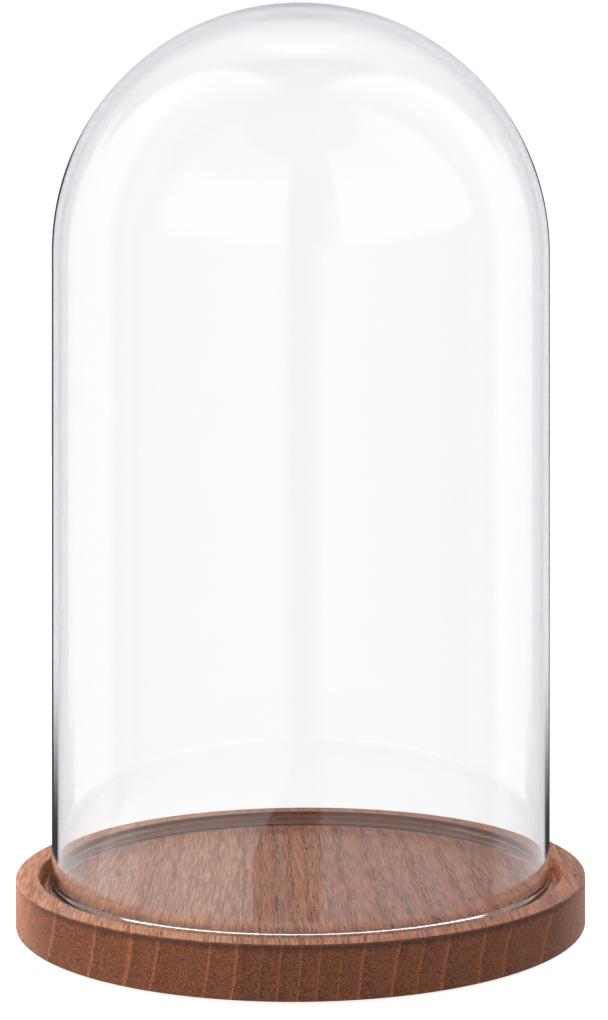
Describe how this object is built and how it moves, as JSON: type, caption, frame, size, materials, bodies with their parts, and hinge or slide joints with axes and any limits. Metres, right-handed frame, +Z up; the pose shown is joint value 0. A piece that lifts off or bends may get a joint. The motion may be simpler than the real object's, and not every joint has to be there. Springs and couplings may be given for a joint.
{
  "type": "bell jar dome",
  "caption": "Clear blown-glass bell jar with a hemispherical crown, standing loose in a recess turned into a round stained wooden display base.",
  "frame": {"origin": "on the axis of the dome and the base, on the surface that the foot pads stand on", "axes": "+Z up along the axis; the grain and the glue line of the base run along Y, with -Y the front"},
  "size_m": [0.225, 0.225, 0.3626],
  "materials": {
    "clear_glass": "clear, polished",
    "left_stave_wood": "brown stain under semi-gloss clear lacquer",
    "right_stave_wood": "brown stain under semi-gloss clear lacquer",
    "pad_felt": "matt felt"
  },
  "bodies": {
    "base": {"base_stave_left": "left_stave_wood", "base_stave_right": "right_stave_wood", "foot_pad_right": "pad_felt", "foot_pad_back_left": "pad_felt", "foot_pad_front_left": "pad_felt"},
    "dome": {"glass_dome": "clear_glass"}
  },
  "joints": [
    {"name": "dome_lift", "type": "slide", "parent": "base", "child": "dome", "axis": [0, 0, 1], "range_m": [0, 0.36]}
  ]
}
